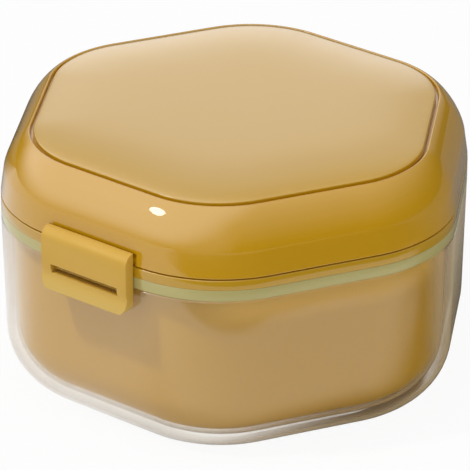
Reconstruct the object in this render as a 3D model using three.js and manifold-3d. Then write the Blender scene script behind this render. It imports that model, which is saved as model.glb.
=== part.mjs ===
import * as THREE from 'three';
import { mergeVertices } from 'three/addons/utils/BufferGeometryUtils.js';
import Module from 'manifold-3d';

// A hexagonal retainer case: a clear cup holds a strainer basket, and a domed lid closes on a silicone ring.
// Millimetres, +Z up. The origin is the middle of the underside. The clip is at -Y and the lid's hinge at +Y.

// Case outline: a hexagon with round corners, and its width between the flats towards -Y and +Y
const caseWidth = 90;
const cornerRadius = 26.3;

// Clear cup
const cupHeight = 36.4;
const cupTaper = 0.55;
const cupBend = 12.2;
const cupWall = 1.9;
const cupFloor = 2.2;
const cupRimChamfer = 0.35;

// Catch rib on the cup's front, which the clip's slot takes in
const ribWidth = 15.8;
const ribHeight = 0.8;
const ribReach = 1.7;

// Strainer basket
const basketGap = 0.5;
const basketWall = 1.3;
const basketFloor = 1.4;
const basketDrop = 0.8;
const footHeight = 1;
const footRadius = 2.2;
const footCircle = 26;
const drainRadius = 1.7;
const drainPitch = 8;
const ledgeWidth = 16;
const ledgeReach = 5;
const ledgeThick = 1.3;
const ledgeLip = 1.2;

// Silicone ring
const gasketHeight = 2.4;
const gasketWidth = 2;
const tongueWidth = 0.7;
const tongueHeight = 1.1;
const tongueInset = 0.6;
const tongueGap = 0.15;

// Lid rim: the band under the seam, whose upstand fits in a rabbet inside the dome's edge
const bandHeight = 2.1;
const seamGap = 0.25;
const seamDepth = 0.7;
const upstandWidth = 0.9;
const upstandHeight = 1.2;
const rabbetGap = 0.15;

// Lid shell
const domeWallHeight = 4.9;
const domeDraft = 0.66;
const domeHeight = 13.1;
const shellWall = 1.5;
const shellTop = 1.4;
const shoulderFullnessShare = 1.4;

// Top panel
const panelWidth = 76.5;
const grooveWidth = 0.7;
const grooveDepth = 1;
const grooveChamfer = 0.3;
const panelProud = 0.45;
const panelCrown = 0.8;
const panelEdge = 0.35;

// Latch clip
const clipWidth = 21;
const clipHeight = 13;
const clipThick = 2.3;
const clipGap = 0.3;
const clipRise = 3.1;
const clipCorner = 2.8;
const lipFlare = 0.45;
const lipBevel = 0.5;
const slotWidth = 16.4;
const slotHeight = 1.9;
const ribClearance = 0.25;

// Clip pivot
const pivotInset = 0.65;
const pivotDrop = 1.7;
const clipPinRadius = 0.45;
const clipPinLength = 18.6;
const earRadius = 0.85;
const earWidth = 3;
const earSpacing = 11;
const earClearance = 0.2;

// Rear hinge
const knuckleRadius = 2;
const knuckleWidth = 15.4;
const lugWidth = 4;
const knuckleGap = 0.3;
const hingePinRadius = 0.8;
const hingePinOverhang = 0.4;
const lugDepth = 5;

// Fits and cuts
const pinClearance = 0.05;
const restGap = 0.05;
const overrun = 1;

// Facets
const hexagonSides = 6;
const cornerSteps = 8;
const bendSteps = 6;
const shoulderSteps = 9;
const innerShoulderSteps = 6;
const roundSteps = 20;
const holeSteps = 10;

// Heights and apothems that follow from the sizes above
const apothem = caseWidth / 2;
const core = apothem - cornerRadius;
const bandBottom = cupHeight + restGap + gasketHeight;
const bandTop = bandBottom + bandHeight;
const shellBottom = bandTop + seamGap;
const shoulderStart = bandTop + domeWallHeight;
const domeTop = bandTop + domeHeight;
const panelSeat = domeTop - grooveDepth;
const panelApothem = panelWidth / 2;
const wellApothem = panelApothem + grooveWidth;
const cupInner = apothem - cupWall;
const basketApothem = cupInner - basketGap;
const basketBase = cupFloor + restGap + footHeight;
const basketTop = cupHeight - basketDrop;
const faceY = -apothem;
const clipBackY = faceY - clipGap;
const clipFrontY = clipBackY - clipThick;
const clipTop = bandTop + clipRise;
const clipBottom = clipTop - clipHeight;
const pivotY = clipBackY - pivotInset;
const pivotZ = clipTop - pivotDrop;
const slotBottom = cupHeight - ribHeight - ribClearance;
const hingeY = apothem + knuckleGap + knuckleRadius;
const hingeZ = bandBottom - bandHeight / 2 + knuckleGap;

const wasm = await Module();
wasm.setup();

// Solids in and out of the boolean library
function toSolid(geometry) {
  const bare = geometry.clone();
  bare.deleteAttribute('normal');
  bare.deleteAttribute('uv');
  const merged = mergeVertices(bare);
  const mesh = new wasm.Mesh({
    numProp: 3,
    vertProperties: new Float32Array(merged.attributes.position.array),
    triVerts: new Uint32Array(merged.index.array),
  });
  return new wasm.Manifold(mesh);
}

function toGeometry(solid) {
  const mesh = solid.getMesh();
  const geometry = new THREE.BufferGeometry();
  geometry.setAttribute('position', new THREE.BufferAttribute(new Float32Array(mesh.vertProperties), 3));
  geometry.setIndex(new THREE.BufferAttribute(new Uint32Array(mesh.triVerts), 1));
  geometry.computeVertexNormals();
  return geometry;
}

// One level of a piece: a rounded hexagon at a height. Its corner arcs share their centres with the case's.
function level(flat, z) {
  return { flat, radius: Math.max(flat - core, 0), z };
}

// One level whose outline is the panel's, shrunk alike all round
function shrunkLevel(share, z) {
  const flat = panelApothem * share;
  return { flat, radius: (panelApothem - core) * share, z };
}

function outlinePoints({ flat, radius, z }) {
  const centre = (flat - radius) / Math.cos(Math.PI / 6);
  const points = [];
  for (let corner = 0; corner < hexagonSides; corner += 1) {
    const direction = (corner * Math.PI) / 3;
    for (let step = 0; step <= cornerSteps; step += 1) {
      const turn = direction + (step / cornerSteps - 1 / 2) * (Math.PI / 3);
      const x = centre * Math.cos(direction) + radius * Math.cos(turn);
      const y = centre * Math.sin(direction) + radius * Math.sin(turn);
      points.push([x, y, z]);
    }
  }
  return points;
}

// A solid whose every horizontal section is such a hexagon. The levels run round its profile with the solid
// on their left, looking from -Y at the +X half. A closed profile makes a ring, and an open one starts and
// ends on the axis.
function hexLoft(levels, closed = false) {
  const positions = [];
  const starts = [];
  for (const each of levels) {
    starts.push(positions.length / 3);
    if (each.flat === 0) {
      positions.push(0, 0, each.z);
    } else {
      positions.push(...outlinePoints(each).flat());
    }
  }
  const around = hexagonSides * (cornerSteps + 1);
  const faces = [];
  const strips = closed ? levels.length : levels.length - 1;
  for (let i = 0; i < strips; i += 1) {
    const j = (i + 1) % levels.length;
    const lowPoint = levels[i].flat === 0;
    const highPoint = levels[j].flat === 0;
    for (let k = 0; k < around; k += 1) {
      const next = (k + 1) % around;
      const a = starts[i] + (lowPoint ? 0 : k);
      const b = starts[i] + (lowPoint ? 0 : next);
      const c = starts[j] + (highPoint ? 0 : next);
      const d = starts[j] + (highPoint ? 0 : k);
      if (!lowPoint) faces.push(a, b, c);
      if (!highPoint) faces.push(a, c, d);
    }
  }
  const geometry = new THREE.BufferGeometry();
  geometry.setAttribute('position', new THREE.Float32BufferAttribute(positions, 3));
  geometry.setIndex(faces);
  return geometry;
}

// Levels of a quarter bend from a floor up to a wall, or back
function bendLevels(flat, bottom, radius) {
  const levels = [];
  for (let step = 0; step <= bendSteps; step += 1) {
    const turn = (step / bendSteps) * (Math.PI / 2);
    levels.push(level(flat - radius * (1 - Math.sin(turn)), bottom + radius * (1 - Math.cos(turn))));
  }
  return levels;
}

// Levels of a dome's shoulder, from the wall in to the top
function shoulderLevels(wallFlat, wallZ, topFlat, topZ, steps) {
  const levels = [];
  const power = 2 / shoulderFullnessShare;
  for (let step = 0; step <= steps; step += 1) {
    const turn = (step / steps) * (Math.PI / 2);
    const run = step === steps ? 0 : Math.cos(turn) ** power;
    const rise = Math.sin(turn) ** power;
    levels.push(level(topFlat + (wallFlat - topFlat) * run, wallZ + (topZ - wallZ) * rise));
  }
  return levels;
}

// Small solids
function block(x0, x1, y0, y1, z0, z1) {
  const geometry = new THREE.BoxGeometry(x1 - x0, y1 - y0, z1 - z0);
  geometry.translate((x0 + x1) / 2, (y0 + y1) / 2, (z0 + z1) / 2);
  return toSolid(geometry);
}

function barAlongX(radius, x0, x1, y, z, steps) {
  const geometry = new THREE.CylinderGeometry(radius, radius, x1 - x0, steps);
  geometry.rotateZ(Math.PI / 2);
  geometry.translate((x0 + x1) / 2, y, z);
  return geometry;
}

function postAlongZ(radius, x, y, z0, z1, steps) {
  const geometry = new THREE.CylinderGeometry(radius, radius, z1 - z0, steps);
  geometry.rotateX(Math.PI / 2);
  geometry.translate(x, y, (z0 + z1) / 2);
  return toSolid(geometry);
}

// A profile drawn in Y and Z, pushed along X
function profileAlongX(points, x0, x1) {
  const shape = new THREE.Shape(points.map(([y, z]) => new THREE.Vector2(y, z)));
  const geometry = new THREE.ExtrudeGeometry(shape, { depth: x1 - x0, bevelEnabled: false });
  geometry.rotateX(Math.PI / 2);
  geometry.rotateZ(Math.PI / 2);
  geometry.translate(x0, 0, 0);
  return toSolid(geometry);
}

function boreRadius(pinRadius, steps) {
  return (pinRadius + pinClearance) / Math.cos(Math.PI / steps);
}

// Clear cup with its catch rib and two hinge lugs
function makeCup() {
  const foot = apothem - cupTaper;
  const innerFoot = foot - cupWall;
  const levels = [
    level(0, 0),
    ...bendLevels(foot, 0, cupBend),
    level(apothem, cupHeight - cupRimChamfer),
    level(apothem - cupRimChamfer, cupHeight),
    level(cupInner, cupHeight),
    ...bendLevels(innerFoot, cupFloor, cupBend - cupWall).reverse(),
    level(0, cupFloor),
  ];
  let cup = toSolid(hexLoft(levels));
  const ribRoot = faceY + cupWall / 2;
  const ribHalf = ribWidth / 2;
  cup = cup.add(block(-ribHalf, ribHalf, faceY - ribReach, ribRoot, cupHeight - ribHeight, cupHeight));
  for (const side of [-1, 1]) {
    const near = knuckleWidth / 2 + knuckleGap;
    const x0 = Math.min(side * near, side * (near + lugWidth));
    const x1 = x0 + lugWidth;
    const wallY = apothem - cupWall / 2;
    const web = profileAlongX(
      [
        [wallY, hingeZ - knuckleRadius - lugDepth],
        [hingeY + knuckleRadius, hingeZ],
        [hingeY - knuckleRadius, hingeZ],
        [apothem + knuckleGap, cupHeight - cupRimChamfer],
        [wallY, cupHeight - cupRimChamfer],
      ],
      x0,
      x1,
    );
    cup = cup.add(web).add(toSolid(barAlongX(knuckleRadius, x0, x1, hingeY, hingeZ, roundSteps)));
  }
  const reach = knuckleWidth / 2 + knuckleGap + lugWidth + overrun;
  const bore = barAlongX(boreRadius(hingePinRadius, holeSteps), -reach, reach, hingeY, hingeZ, holeSteps);
  return toGeometry(cup.subtract(toSolid(bore)));
}

// Places of the drain holes: rings of a triangular grid that stay inside the feet's reach
function drainPlaces() {
  const places = [];
  const limit = apothem - cupTaper - cupWall - cupBend;
  const rings = Math.floor(limit / drainPitch);
  for (let q = -rings; q <= rings; q += 1) {
    for (let r = -rings; r <= rings; r += 1) {
      if (Math.abs(q + r) <= rings) {
        places.push([drainPitch * (q + r / 2), drainPitch * r * Math.sin(Math.PI / 3)]);
      }
    }
  }
  return places;
}

// Strainer basket: a bowl with drain holes, feet, and a ledge on two sides to lift it by
function makeBasket() {
  const bend = cupBend - cupWall - basketGap;
  const foot = basketApothem - cupTaper;
  const innerTop = basketApothem - basketWall;
  const innerFloor = basketBase + basketFloor;
  const levels = [
    level(0, basketBase),
    ...bendLevels(foot, basketBase, bend),
    level(basketApothem, basketTop),
    level(innerTop, basketTop),
    ...bendLevels(foot - basketWall, innerFloor, bend - basketWall).reverse(),
    level(0, innerFloor),
  ];
  let basket = toSolid(hexLoft(levels));
  for (const side of [-1, 1]) {
    const wall = side * (basketApothem - basketWall / 2);
    const inner = side * (innerTop - ledgeReach);
    const lip = inner + side * ledgeThick;
    const x = ledgeWidth / 2;
    const y0 = Math.min(wall, inner);
    basket = basket.add(block(-x, x, y0, Math.max(wall, inner), basketTop - ledgeThick, basketTop));
    basket = basket.add(
      block(-x, x, Math.min(inner, lip), Math.max(inner, lip), basketTop - ledgeThick - ledgeLip, basketTop),
    );
  }
  for (let corner = 0; corner < hexagonSides; corner += 1) {
    const turn = (corner * Math.PI) / 3 + Math.PI / 6;
    const x = footCircle * Math.cos(turn);
    const y = footCircle * Math.sin(turn);
    const top = basketBase + basketFloor / 2;
    basket = basket.add(postAlongZ(footRadius, x, y, basketBase - footHeight, top, holeSteps));
  }
  const below = basketBase - overrun;
  for (const [x, y] of drainPlaces()) {
    basket = basket.subtract(postAlongZ(drainRadius, x, y, below, innerFloor + overrun, holeSteps));
  }
  return toGeometry(basket);
}

// Silicone ring with a tongue that the lid rim's groove holds
function makeGasket() {
  const bottom = cupHeight + restGap;
  const outer = apothem;
  const tongueOuter = outer - tongueInset;
  const levels = [
    level(outer - gasketWidth, bottom),
    level(outer, bottom),
    level(outer, bandBottom),
    level(tongueOuter, bandBottom),
    level(tongueOuter, bandBottom + tongueHeight),
    level(tongueOuter - tongueWidth, bandBottom + tongueHeight),
    level(tongueOuter - tongueWidth, bandBottom),
    level(outer - gasketWidth, bandBottom),
  ];
  return hexLoft(levels, true);
}

// Lid rim: band, seat and upstand for the shell, groove for the silicone ring, hinge knuckle and clip ears
function makeLidRim() {
  const inner = apothem - gasketWidth;
  const upstand = inner + upstandWidth;
  const grooveOuter = apothem - tongueInset + tongueGap;
  const grooveInner = apothem - tongueInset - tongueWidth - tongueGap;
  const grooveTop = bandBottom + tongueHeight + tongueGap;
  const levels = [
    level(inner, bandBottom),
    level(grooveInner, bandBottom),
    level(grooveInner, grooveTop),
    level(grooveOuter, grooveTop),
    level(grooveOuter, bandBottom),
    level(apothem, bandBottom),
    level(apothem, bandTop),
    level(apothem - seamDepth, bandTop),
    level(apothem - seamDepth, shellBottom),
    level(upstand, shellBottom),
    level(upstand, shellBottom + upstandHeight),
    level(inner, shellBottom + upstandHeight),
  ];
  let rim = toSolid(hexLoft(levels, true));
  rim = rim.add(makeKnuckle());
  for (const side of [-1, 1]) {
    rim = rim.add(makeEar((side * earSpacing) / 2));
  }
  const hingeReach = knuckleWidth / 2 + overrun;
  const hingeBore = boreRadius(hingePinRadius, holeSteps);
  rim = rim.subtract(toSolid(barAlongX(hingeBore, -hingeReach, hingeReach, hingeY, hingeZ, holeSteps)));
  const clipReach = clipPinLength / 2;
  const clipBore = boreRadius(clipPinRadius, holeSteps);
  rim = rim.subtract(toSolid(barAlongX(clipBore, -clipReach, clipReach, pivotY, pivotZ, holeSteps)));
  return toGeometry(rim);
}

// The lid's half of the hinge, on the back of the band
function makeKnuckle() {
  const x = knuckleWidth / 2;
  const root = apothem - tongueInset / 2;
  const bridge = block(-x, x, root, hingeY, bandBottom, hingeZ + knuckleRadius);
  return bridge.add(toSolid(barAlongX(knuckleRadius, -x, x, hingeY, hingeZ, roundSteps)));
}

// An ear on the front of the band, which holds the clip's pin
function makeEar(x) {
  const x0 = x - earWidth / 2;
  const x1 = x + earWidth / 2;
  const root = faceY + tongueInset / 2;
  const back = pivotY + earRadius;
  const front = pivotY - earRadius;
  const neck = profileAlongX(
    [
      [root, bandBottom + seamGap],
      [root, bandTop - seamGap],
      [back, bandTop],
      [back, pivotZ],
      [front, pivotZ],
      [front, bandBottom + seamDepth],
      [front + seamDepth, bandBottom + seamGap],
    ],
    x0,
    x1,
  );
  return neck.add(toSolid(barAlongX(earRadius, x0, x1, pivotY, pivotZ, roundSteps)));
}

// One surface of the dome, this far inside its outer one, from the wall in to the top
function domeLevels(inset, top, steps) {
  const wallFlat = apothem - domeDraft - inset;
  return shoulderLevels(wallFlat, shoulderStart - inset, wellApothem - inset, top, steps);
}

// Lid shell: the glossy dome, with a well for the panel and a trough for the clip's top to turn in
function makeLidShell() {
  const rabbet = apothem - gasketWidth + upstandWidth + rabbetGap;
  const rabbetTop = shellBottom + upstandHeight + rabbetGap;
  const shellCeiling = panelSeat - shellTop;
  const outerShoulder = domeLevels(0, domeTop, shoulderSteps);
  outerShoulder.pop();
  const levels = [
    level(0, shellCeiling),
    ...domeLevels(shellWall, shellCeiling, innerShoulderSteps).reverse(),
    level(apothem - shellWall, rabbetTop),
    level(rabbet, rabbetTop),
    level(rabbet, shellBottom),
    level(apothem, shellBottom),
    ...outerShoulder,
    level(wellApothem + grooveChamfer, domeTop),
    level(wellApothem, domeTop - grooveChamfer),
    level(wellApothem, panelSeat),
    level(0, panelSeat),
  ];
  const shell = toSolid(hexLoft(levels));
  const sweep = Math.hypot(pivotInset, pivotDrop) + earClearance;
  const half = clipWidth / 2 + clipGap;
  return toGeometry(shell.subtract(toSolid(barAlongX(sweep, -half, half, pivotY, pivotZ, roundSteps))));
}

// Top panel: slightly proud of the dome, crowned, with an eased edge
function makePanel() {
  const edgeTop = domeTop + panelProud;
  const crownShares = [0.85, 0.6, 0.3];
  const levels = [
    level(0, panelSeat),
    level(panelApothem, panelSeat),
    level(panelApothem, edgeTop - panelEdge),
    level(panelApothem - panelEdge, edgeTop),
  ];
  for (const share of crownShares) {
    levels.push(shrunkLevel(share, edgeTop + panelCrown * (1 - share * share)));
  }
  levels.push(level(0, edgeTop + panelCrown));
  return hexLoft(levels);
}

// Latch clip: a plate with a quarter-round top, a long slot, and a lip that flares for the finger
function makeClip() {
  const side = [[clipBackY, clipBottom + lipBevel]];
  side.push([clipBackY, clipTop]);
  for (let step = 1; step <= bendSteps; step += 1) {
    const turn = (step / bendSteps) * (Math.PI / 2);
    side.push([clipBackY - clipThick * Math.sin(turn), clipTop - clipThick * (1 - Math.cos(turn))]);
  }
  side.push([clipFrontY, slotBottom]);
  side.push([clipFrontY - lipFlare, clipBottom + lipBevel]);
  side.push([clipFrontY - lipFlare + lipBevel, clipBottom]);
  side.push([clipBackY - lipBevel, clipBottom]);
  const half = clipWidth / 2;
  let clip = profileAlongX(side, -half, half).intersect(clipOutline());
  const slotTop = slotBottom + slotHeight;
  const frontCut = clipFrontY - lipFlare - overrun;
  const slotHalf = slotWidth / 2;
  clip = clip.subtract(block(-slotHalf, slotHalf, frontCut, clipBackY + overrun, slotBottom, slotTop));
  for (const sideSign of [-1, 1]) {
    clip = clip.subtract(earPocket((sideSign * earSpacing) / 2));
  }
  const reach = clipPinLength / 2 + earClearance;
  const clipBore = boreRadius(clipPinRadius, holeSteps);
  const bore = barAlongX(clipBore, -half - overrun, reach, pivotY, pivotZ, holeSteps);
  return toGeometry(clip.subtract(toSolid(bore)));
}

// The clip seen from the front: straight sides and round lower corners
function clipOutline() {
  const half = clipWidth / 2;
  const shape = new THREE.Shape();
  shape.moveTo(-half, clipTop + overrun);
  shape.lineTo(-half, clipBottom + clipCorner);
  shape.absarc(-half + clipCorner, clipBottom + clipCorner, clipCorner, Math.PI, Math.PI * 1.5, false);
  shape.absarc(half - clipCorner, clipBottom + clipCorner, clipCorner, Math.PI * 1.5, Math.PI * 2, false);
  shape.lineTo(half, clipTop + overrun);
  const depth = clipThick + lipFlare + overrun * 2;
  const geometry = new THREE.ExtrudeGeometry(shape, { depth, bevelEnabled: false, curveSegments: bendSteps });
  geometry.rotateX(Math.PI / 2);
  geometry.translate(0, clipBackY + overrun, 0);
  return toSolid(geometry);
}

// Room behind the clip for one ear, open at the back
function earPocket(x) {
  const x0 = x - earWidth / 2 - earClearance;
  const x1 = x + earWidth / 2 + earClearance;
  const radius = earRadius + earClearance;
  const low = bandBottom + seamGap - earClearance - restGap;
  const room = block(x0, x1, pivotY - radius, clipBackY + overrun, low, pivotZ);
  const upper = block(x0, x1, pivotY, clipBackY + overrun, pivotZ, pivotZ + radius);
  return room.add(upper).add(toSolid(barAlongX(radius, x0, x1, pivotY, pivotZ, roundSteps)));
}

// Pins
function makeClipPin() {
  return barAlongX(clipPinRadius, -clipPinLength / 2, clipPinLength / 2, pivotY, pivotZ, holeSteps);
}

function makeHingePin() {
  const half = knuckleWidth / 2 + knuckleGap + lugWidth + hingePinOverhang;
  return barAlongX(hingePinRadius, -half, half, hingeY, hingeZ, holeSteps);
}

// Finishes
function finish(color, roughness, metalness = 0) {
  return new THREE.MeshStandardMaterial({ color, roughness, metalness });
}

const clearPlastic = finish(0xe6d8c2, 0.08);
clearPlastic.transparent = true;
clearPlastic.opacity = 0.35;
const glossOchre = finish(0xd0a050, 0.18);
const satinOchre = finish(0xcfa255, 0.45);
const bandOchre = finish(0xb98d20, 0.35);
const basketOchre = finish(0xc99a48, 0.5);
const silicone = finish(0xb4b48c, 0.55);
const steel = finish(0xb8b8b8, 0.3, 1);

const group = new THREE.Group();

function add(name, geometry, material) {
  const mesh = new THREE.Mesh(geometry, material);
  mesh.name = name;
  group.add(mesh);
}

add('outer_cup', makeCup(), clearPlastic);
add('strainer_basket', makeBasket(), basketOchre);
add('seal_gasket', makeGasket(), silicone);
add('lid_rim', makeLidRim(), bandOchre);
add('lid_shell', makeLidShell(), glossOchre);
add('lid_panel', makePanel(), glossOchre);
add('latch_clip', makeClip(), satinOchre);
add('latch_pin', makeClipPin(), steel);
add('hinge_pin', makeHingePin(), steel);

export default group;
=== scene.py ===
# %% [markdown]
# # A hexagonal retainer case
# The case is a clear cup, a strainer basket inside it, and a domed lid that closes on a silicone
# ring and is held by a clip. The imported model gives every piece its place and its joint. Here each
# piece is modelled again in finer detail at the same place, and gets its plastic, silicone or
# steel finish. Everything is in metres, with Z up. The clip is on the side of negative Y, and the
# hinge is opposite.

# %% Load the frame
import math

import bpy
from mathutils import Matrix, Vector


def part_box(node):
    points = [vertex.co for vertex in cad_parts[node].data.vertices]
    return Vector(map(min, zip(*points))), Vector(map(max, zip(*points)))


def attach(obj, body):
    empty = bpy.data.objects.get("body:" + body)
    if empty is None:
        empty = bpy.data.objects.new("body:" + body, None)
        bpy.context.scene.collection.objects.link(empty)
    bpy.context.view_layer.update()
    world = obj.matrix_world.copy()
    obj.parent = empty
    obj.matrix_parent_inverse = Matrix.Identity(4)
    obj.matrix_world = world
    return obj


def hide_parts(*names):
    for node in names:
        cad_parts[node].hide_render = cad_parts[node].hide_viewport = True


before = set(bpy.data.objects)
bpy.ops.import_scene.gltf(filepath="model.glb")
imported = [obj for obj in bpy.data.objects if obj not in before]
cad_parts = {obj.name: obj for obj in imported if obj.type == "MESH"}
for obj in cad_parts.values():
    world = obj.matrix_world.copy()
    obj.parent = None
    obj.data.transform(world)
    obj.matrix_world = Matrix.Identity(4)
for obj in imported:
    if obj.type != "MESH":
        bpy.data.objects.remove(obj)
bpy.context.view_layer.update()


def in_mm(corner):
    return [round(1000 * v, 2) for v in corner]


for node in sorted(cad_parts):
    low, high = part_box(node)
    print(f"{node:16s} {in_mm(low)} to {in_mm(high)} mm")

# %% [markdown]
# ## Sizes
# The drawings below repeat the sizes of the moulds, in millimetres, and one factor turns them into
# metres. Every horizontal outline of the case is a hexagon with round corners, and all the corner
# arcs share six centres. So one number says how big an outline is: its distance from the axis to a
# flat side, which is called its flat from here on.

# %% Sizes in millimetres
MM = 0.001
NEAR = 0.01  # an edge this close to a place is picked there
FLAT = 45.0  # of the seal and the bands
CORNER = 26.3  # radius of the corners at that flat
CORE = FLAT - CORNER  # the corners' centres lie on this flat, and sections begin there
INNER = 43.0  # inner flat of the seal and the lid's rim

# Heights above the table
CUP_TOP = 36.4
SEAL_TOP = 38.85
BAND_TOP = 40.95
SHELL_BOTTOM = 41.2
SEAT = 53.05
DOME_TOP = 54.05
PANEL_TOP = 55.29

# Y and Z of the two pins
PIVOT = (-45.95, 42.35)
HINGE = (47.3, 38.1)
print(f"the case is {2 * FLAT:.0f} mm across its flats and {PANEL_TOP:.1f} mm high")

# %% [markdown]
# ## Small helpers for working in edit mode
# An operator acts on whatever is selected, and loading the frame leaves its pieces selected. So
# each piece starts from a clean selection, and points, edges and faces are then picked in code, by
# their place. A closed skin has two faces at every edge, and the report counts the edges that
# haven't.

# %% Helpers: selection and modes
def start_clean():
    if bpy.context.object and bpy.context.object.mode != "OBJECT":
        bpy.ops.object.mode_set(mode="OBJECT")
    bpy.ops.object.select_all(action="DESELECT")


def activate(piece):
    start_clean()
    piece.select_set(True)
    bpy.context.view_layer.objects.active = piece


def leave():
    bpy.ops.object.mode_set(mode="OBJECT")


def settle(name):
    """Names a new primitive and moves its place, turn and size into its mesh."""
    piece = bpy.context.object
    piece.name = name
    bpy.ops.object.transform_apply(location=True, rotation=True, scale=True)
    return piece


def pick(piece, kind, test):
    """Selects the edges or faces whose middle, in millimetres, passes. Ends in edit mode."""
    activate(piece)
    bpy.ops.object.mode_set(mode="EDIT")
    bpy.ops.mesh.select_mode(type={"edges": "EDGE", "polygons": "FACE"}[kind])
    bpy.ops.mesh.select_all(action="DESELECT")
    leave()
    mesh = piece.data
    for item in getattr(mesh, kind):
        if kind == "edges":
            first, second = item.vertices
            middle = (mesh.vertices[first].co + mesh.vertices[second].co) / 2
        else:
            middle = item.center
        if test(middle / MM, item):
            item.select = True
    bpy.ops.object.mode_set(mode="EDIT")


def ease_edges(piece, test, width, segments=3):
    pick(piece, "edges", test)
    bpy.ops.mesh.bevel(offset=width * MM, segments=segments, affect="EDGES")
    leave()


def apply_modifier(piece, kind, **settings):
    modifier = piece.modifiers.new(kind.lower(), kind)
    for key, value in settings.items():
        setattr(modifier, key, value)
    activate(piece)
    bpy.ops.object.modifier_apply(modifier=modifier.name)


def smooth(piece, degrees):
    activate(piece)
    bpy.ops.object.shade_smooth_by_angle(angle=math.radians(degrees))


def edge_uses(piece):
    """How many faces use each edge."""
    uses = {}
    for face in piece.data.polygons:
        for key in face.edge_keys:
            uses[key] = uses.get(key, 0) + 1
    return uses


def report(piece):
    open_edges = sum(1 for uses in edge_uses(piece).values() if uses != 2)
    print(f"{piece.name}: {len(piece.data.polygons)} faces, {open_edges} open edges")


print("helpers ready")

# %% [markdown]
# ## Drawing a wall's section
# A moulded wall is easiest to judge in section: a line drawn in a vertical plane, with every
# corner eased by a small radius. The real mould has those radii too, and they are what catches the
# light along an edge. `eased` takes the sharp corners with a radius for each, and returns the same
# line with arcs in their place. The bend of a floor into a wall and the dome's shoulder are curves
# of their own.

# %% Section with eased corners
FLAT_CORNER = math.radians(88)  # half the angle of a corner that is too flat to round


def eased(corners, closed=False, arc_points=4):
    """Takes (flat, height, radius) corners and returns (flat, height) points."""
    points = []
    count = len(corners)
    for i, (x, z, radius) in enumerate(corners):
        at_end = not closed and i in (0, count - 1)
        if at_end or radius == 0:
            points.append((x, z))
            continue
        here = Vector((x, z))
        before = (Vector(corners[i - 1][:2]) - here).normalized()
        after = (Vector(corners[(i + 1) % count][:2]) - here).normalized()
        half = before.angle(after) / 2
        if half > FLAT_CORNER:
            points.append((x, z))
            continue
        reach = radius / math.tan(half)
        centre = here + (before + after).normalized() * (radius / math.sin(half))
        start = here + before * reach - centre
        end = here + after * reach - centre
        turn = start.angle_signed(end)
        for step in range(arc_points + 1):
            angle = -turn * step / arc_points
            spun = Vector((
                start.x * math.cos(angle) - start.y * math.sin(angle),
                start.x * math.sin(angle) + start.y * math.cos(angle),
            ))
            points.append(tuple(centre + spun))
    return points


def quarter(steps):
    """The angles of a quarter turn, in equal steps."""
    return [math.pi / 2 * step / steps for step in range(steps + 1)]


def floor_bend(flat, bottom, radius, steps=16):
    """A floor that bends up into a wall."""
    return [
        (flat - radius * (1 - math.sin(t)), bottom + radius * (1 - math.cos(t)))
        for t in quarter(steps)
    ]


def dome_shoulder(wall, wall_z, top, top_z, steps, fullness=1.4):
    """Rounder than a straight slope and flatter than a circle's quarter."""
    points = []
    for t in quarter(steps)[:-1]:
        run = math.cos(t) ** (2 / fullness)
        climb = math.sin(t) ** (2 / fullness)
        points.append((top + (wall - top) * run, wall_z + (top_z - wall_z) * climb))
    return points + [(top, top_z)]


print("an eased corner has", len(eased([(0, 0, 0), (5, 0, 0.3), (5, 5, 0)])) - 2, "points")

# %% [markdown]
# ## Drawing a line by hand
# By hand, a section is clicked point by point: one point is extruded to the next place, and from
# there to the next. The single point that this starts from is a tiny plane merged to its centre.
# A line that ends where it began gets its last edge between the two ends.

# %% Chains of edges
def draw_chain(name, places):
    """Joins the places, in metres, by edges. Ends in edit mode with all selected."""
    start_clean()
    bpy.ops.mesh.primitive_plane_add(size=MM, location=places[0])
    piece = settle(name)
    bpy.ops.object.mode_set(mode="EDIT")
    bpy.ops.mesh.select_mode(type="VERT")
    bpy.ops.mesh.select_all(action="SELECT")
    bpy.ops.mesh.merge(type="CENTER")
    for here, there in zip(places, places[1:]):
        bpy.ops.mesh.extrude_region_move(TRANSFORM_OT_translate={"value": there - here})
    bpy.ops.mesh.select_all(action="SELECT")
    return piece


def close_chain(piece):
    """Adds the edge from the last point to the first. Ends in edit mode with all selected."""
    leave()
    last = len(piece.data.vertices) - 1
    for vertex in piece.data.vertices:
        vertex.select = vertex.index in (0, last)
    for edge in piece.data.edges:
        edge.select = False
    bpy.ops.object.mode_set(mode="EDIT")
    bpy.ops.mesh.edge_face_add()
    bpy.ops.mesh.select_all(action="SELECT")


print("chains ready")

# %% [markdown]
# ## From a section to a six-sided wall
# Lathe work makes round walls. This case is six round corners joined by flats, and the same idea
# still holds: the section is spun 60 degrees around a corner's centre, then pushed straight along
# the flat to the next corner, six times over. The seams are merged at the end, and the six-sided
# middle that is left in a floor or a top is filled. Spinning beats a scaled outline here, because
# the corner's radius follows the wall's distance exactly.

# %% Six-sided walls
SIDES = 6
ARC_STEPS = 14
SEAM = MM / 500  # points closer than this are one


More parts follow.
